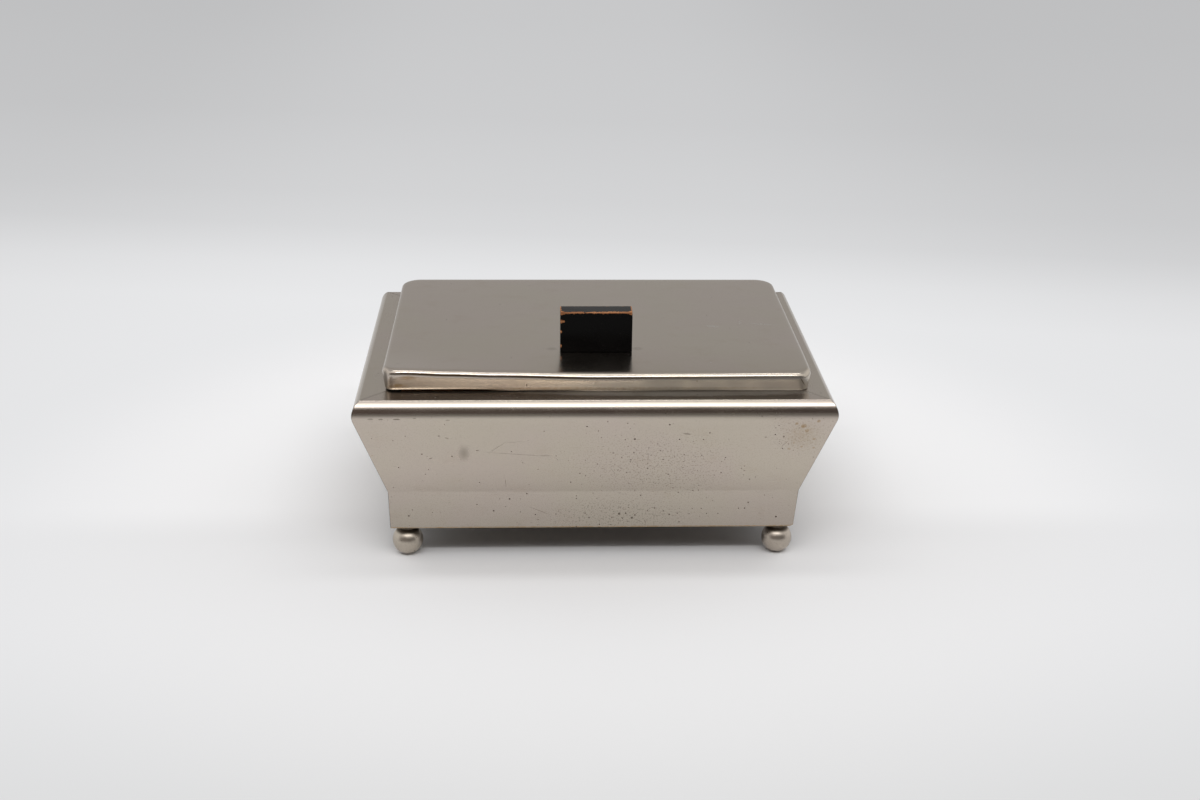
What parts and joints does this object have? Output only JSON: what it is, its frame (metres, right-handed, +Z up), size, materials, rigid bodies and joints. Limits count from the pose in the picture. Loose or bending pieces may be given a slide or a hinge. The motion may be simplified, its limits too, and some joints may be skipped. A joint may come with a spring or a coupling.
{
  "type": "hinged keepsake box",
  "caption": "Art deco metal box with flared sides, rolled rim, ball feet, a shallow hinged lid with an upright block handle, and a wooden liner.",
  "frame": {"origin": "middle of the box, seen from above, on the surface it stands on", "axes": "+X along the long side to the viewer's right, +Y towards the hinged rear, +Z up"},
  "size_m": [0.1528, 0.1166, 0.0794],
  "materials": {
    "satin_nickel": "aged satin nickel plate on sheet metal, finely brushed, with small pits and yellow-brown tarnish",
    "bare_brass": "bare brass, dull with age",
    "screw_steel": "plain turned steel",
    "cedar_wood": "unvarnished cedar, planed",
    "ebonised_wood": "black lacquer on wood, worn to bare wood along the upper edges"
  },
  "bodies": {
    "base": {"base_plate": "satin_nickel", "front_panel": "satin_nickel", "right_panel": "satin_nickel", "rear_panel": "satin_nickel", "left_panel": "satin_nickel", "foot_front_left": "satin_nickel", "foot_front_right": "satin_nickel", "foot_rear_left": "satin_nickel", "foot_rear_right": "satin_nickel", "foot_screw_front_left": "screw_steel", "foot_screw_front_right": "screw_steel", "foot_screw_rear_left": "screw_steel", "foot_screw_rear_right": "screw_steel", "foot_washer_front_left": "bare_brass", "foot_washer_front_right": "bare_brass", "foot_washer_rear_left": "bare_brass", "foot_washer_rear_right": "bare_brass", "liner_floor": "cedar_wood", "liner_front": "cedar_wood", "liner_rear": "cedar_wood", "liner_left": "cedar_wood", "liner_right": "cedar_wood", "hinge_body_leaf": "bare_brass", "hinge_pin": "screw_steel", "hinge_rivet_1": "bare_brass", "hinge_rivet_2": "bare_brass", "hinge_rivet_3": "bare_brass"},
    "lid": {"lid_pan": "satin_nickel", "handle": "ebonised_wood", "handle_screw_left": "bare_brass", "handle_screw_right": "bare_brass", "handle_washer_left": "bare_brass", "handle_washer_right": "bare_brass", "hinge_lid_leaf": "bare_brass"}
  },
  "joints": [
    {"name": "lid_hinge", "type": "hinge", "parent": "base", "child": "lid", "pos_m": [0.0008, 0.0507, 0.06117], "axis": [-1, 0, 0], "range_deg": [0, 121]}
  ]
}
